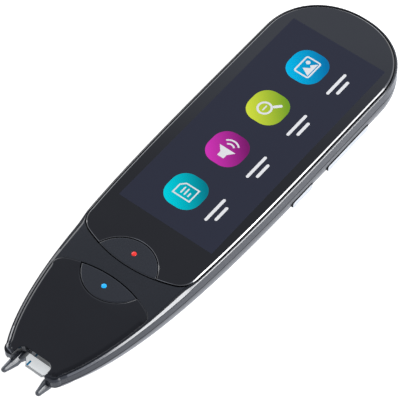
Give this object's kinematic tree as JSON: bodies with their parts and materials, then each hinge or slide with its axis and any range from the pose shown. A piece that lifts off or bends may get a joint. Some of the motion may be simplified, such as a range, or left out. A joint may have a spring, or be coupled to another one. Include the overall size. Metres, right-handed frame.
{
  "type": "scanning pen",
  "caption": "Hand-held scanning pen with a long touch display, two crescent buttons on one circle, side keys and a notched tip that slides in when it is pressed on a page.",
  "frame": {"origin": "under the middle of the pen, on the flat back that it lies on", "axes": "+X across the face, towards the side with the two keys; +Y along the pen, towards the rounded end; +Z out of the display"},
  "size_m": [0.0381, 0.1366, 0.0125],
  "materials": {
    "case_black": "satin",
    "rim_grey": "satin",
    "cover_glass": "polished",
    "nose_gloss": "polished",
    "button_gloss": "polished",
    "dot_red": "gloss",
    "dot_blue": "gloss",
    "key_metal": "satin",
    "tape_black": "matte",
    "adhesive_clear": "clear",
    "display_face": "polished",
    "white_film": "satin",
    "bare_steel": "satin",
    "flex_amber": "satin",
    "board_green": "satin",
    "chip_black": "matte",
    "battery_foil": "satin",
    "lead_red": "satin",
    "module_black": "matte",
    "lens_glass": "clear",
    "lamp_white": "satin",
    "prong_grey": "satin",
    "mark_blue": "satin"
  },
  "bodies": {
    "case": {"rear_housing": "case_black", "front_frame": "rim_grey", "cover_glass": "cover_glass", "glass_tape": "tape_black", "optical_adhesive": "adhesive_clear", "display_panel": "display_face", "backlight": "white_film", "mid_plate": "bare_steel", "display_flex": "flex_amber", "nose_cover": "nose_gloss", "button_board": "board_green", "dome_switches": "bare_steel", "rocker_pin": "bare_steel", "key_bracket": "bare_steel", "side_flex": "flex_amber", "side_switches": "bare_steel", "main_board": "board_green", "processor": "chip_black", "memory_chip": "chip_black", "shield_can": "bare_steel", "power_chip": "chip_black", "wireless_module": "bare_steel", "battery": "battery_foil", "battery_pad": "tape_black", "battery_lead": "lead_red", "link_flex": "flex_amber", "antenna": "flex_amber", "speaker": "module_black", "speaker_gasket": "tape_black", "microphone": "bare_steel", "top_board": "board_green", "usb_shell": "bare_steel", "usb_tongue": "chip_black", "photo_camera": "module_black", "camera_window": "cover_glass", "camera_ring": "key_metal", "scan_board": "board_green", "scan_barrel": "module_black", "scan_lens": "lens_glass", "scan_lamps": "lamp_white", "scan_flex": "flex_amber", "tip_spring": "bare_steel", "tip_switch": "chip_black", "case_screws": "bare_steel", "board_screws": "bare_steel"},
    "upper_button": {"upper_button": "button_gloss", "upper_dot": "dot_red"},
    "lower_button": {"lower_button": "button_gloss", "lower_dot": "dot_blue"},
    "power_key": {"power_key": "key_metal"},
    "volume_rocker": {"volume_rocker": "key_metal"},
    "scan_tip": {"guide_prongs": "prong_grey", "light_head": "lamp_white", "head_mark": "mark_blue"}
  },
  "joints": [
    {"name": "upper_button_press", "type": "slide", "parent": "case", "child": "upper_button", "axis": [0, 0, -1], "range_m": [0, 0.0004], "stiffness_N_per_m": 1500, "springref_m": -0.0003},
    {"name": "lower_button_press", "type": "slide", "parent": "case", "child": "lower_button", "axis": [0, 0, -1], "range_m": [0, 0.0004], "stiffness_N_per_m": 1500, "springref_m": -0.0003},
    {"name": "power_key_press", "type": "slide", "parent": "case", "child": "power_key", "axis": [-1, 0, 0], "range_m": [0, 0.0004], "stiffness_N_per_m": 1500, "springref_m": -0.0003},
    {"name": "volume_rocker_tilt", "type": "hinge", "parent": "case", "child": "volume_rocker", "pos_m": [0.01489, 0.03605, 0.0055], "axis": [0, 0, 1], "range_deg": [-1.2, 1.2], "stiffness_Nm_per_rad": 0.05},
    {"name": "tip_slide", "type": "slide", "parent": "case", "child": "scan_tip", "axis": [0, 1, 0], "range_m": [0, 0.0008], "stiffness_N_per_m": 800, "springref_m": -0.0006, "deforming": ["tip_spring"]}
  ]
}
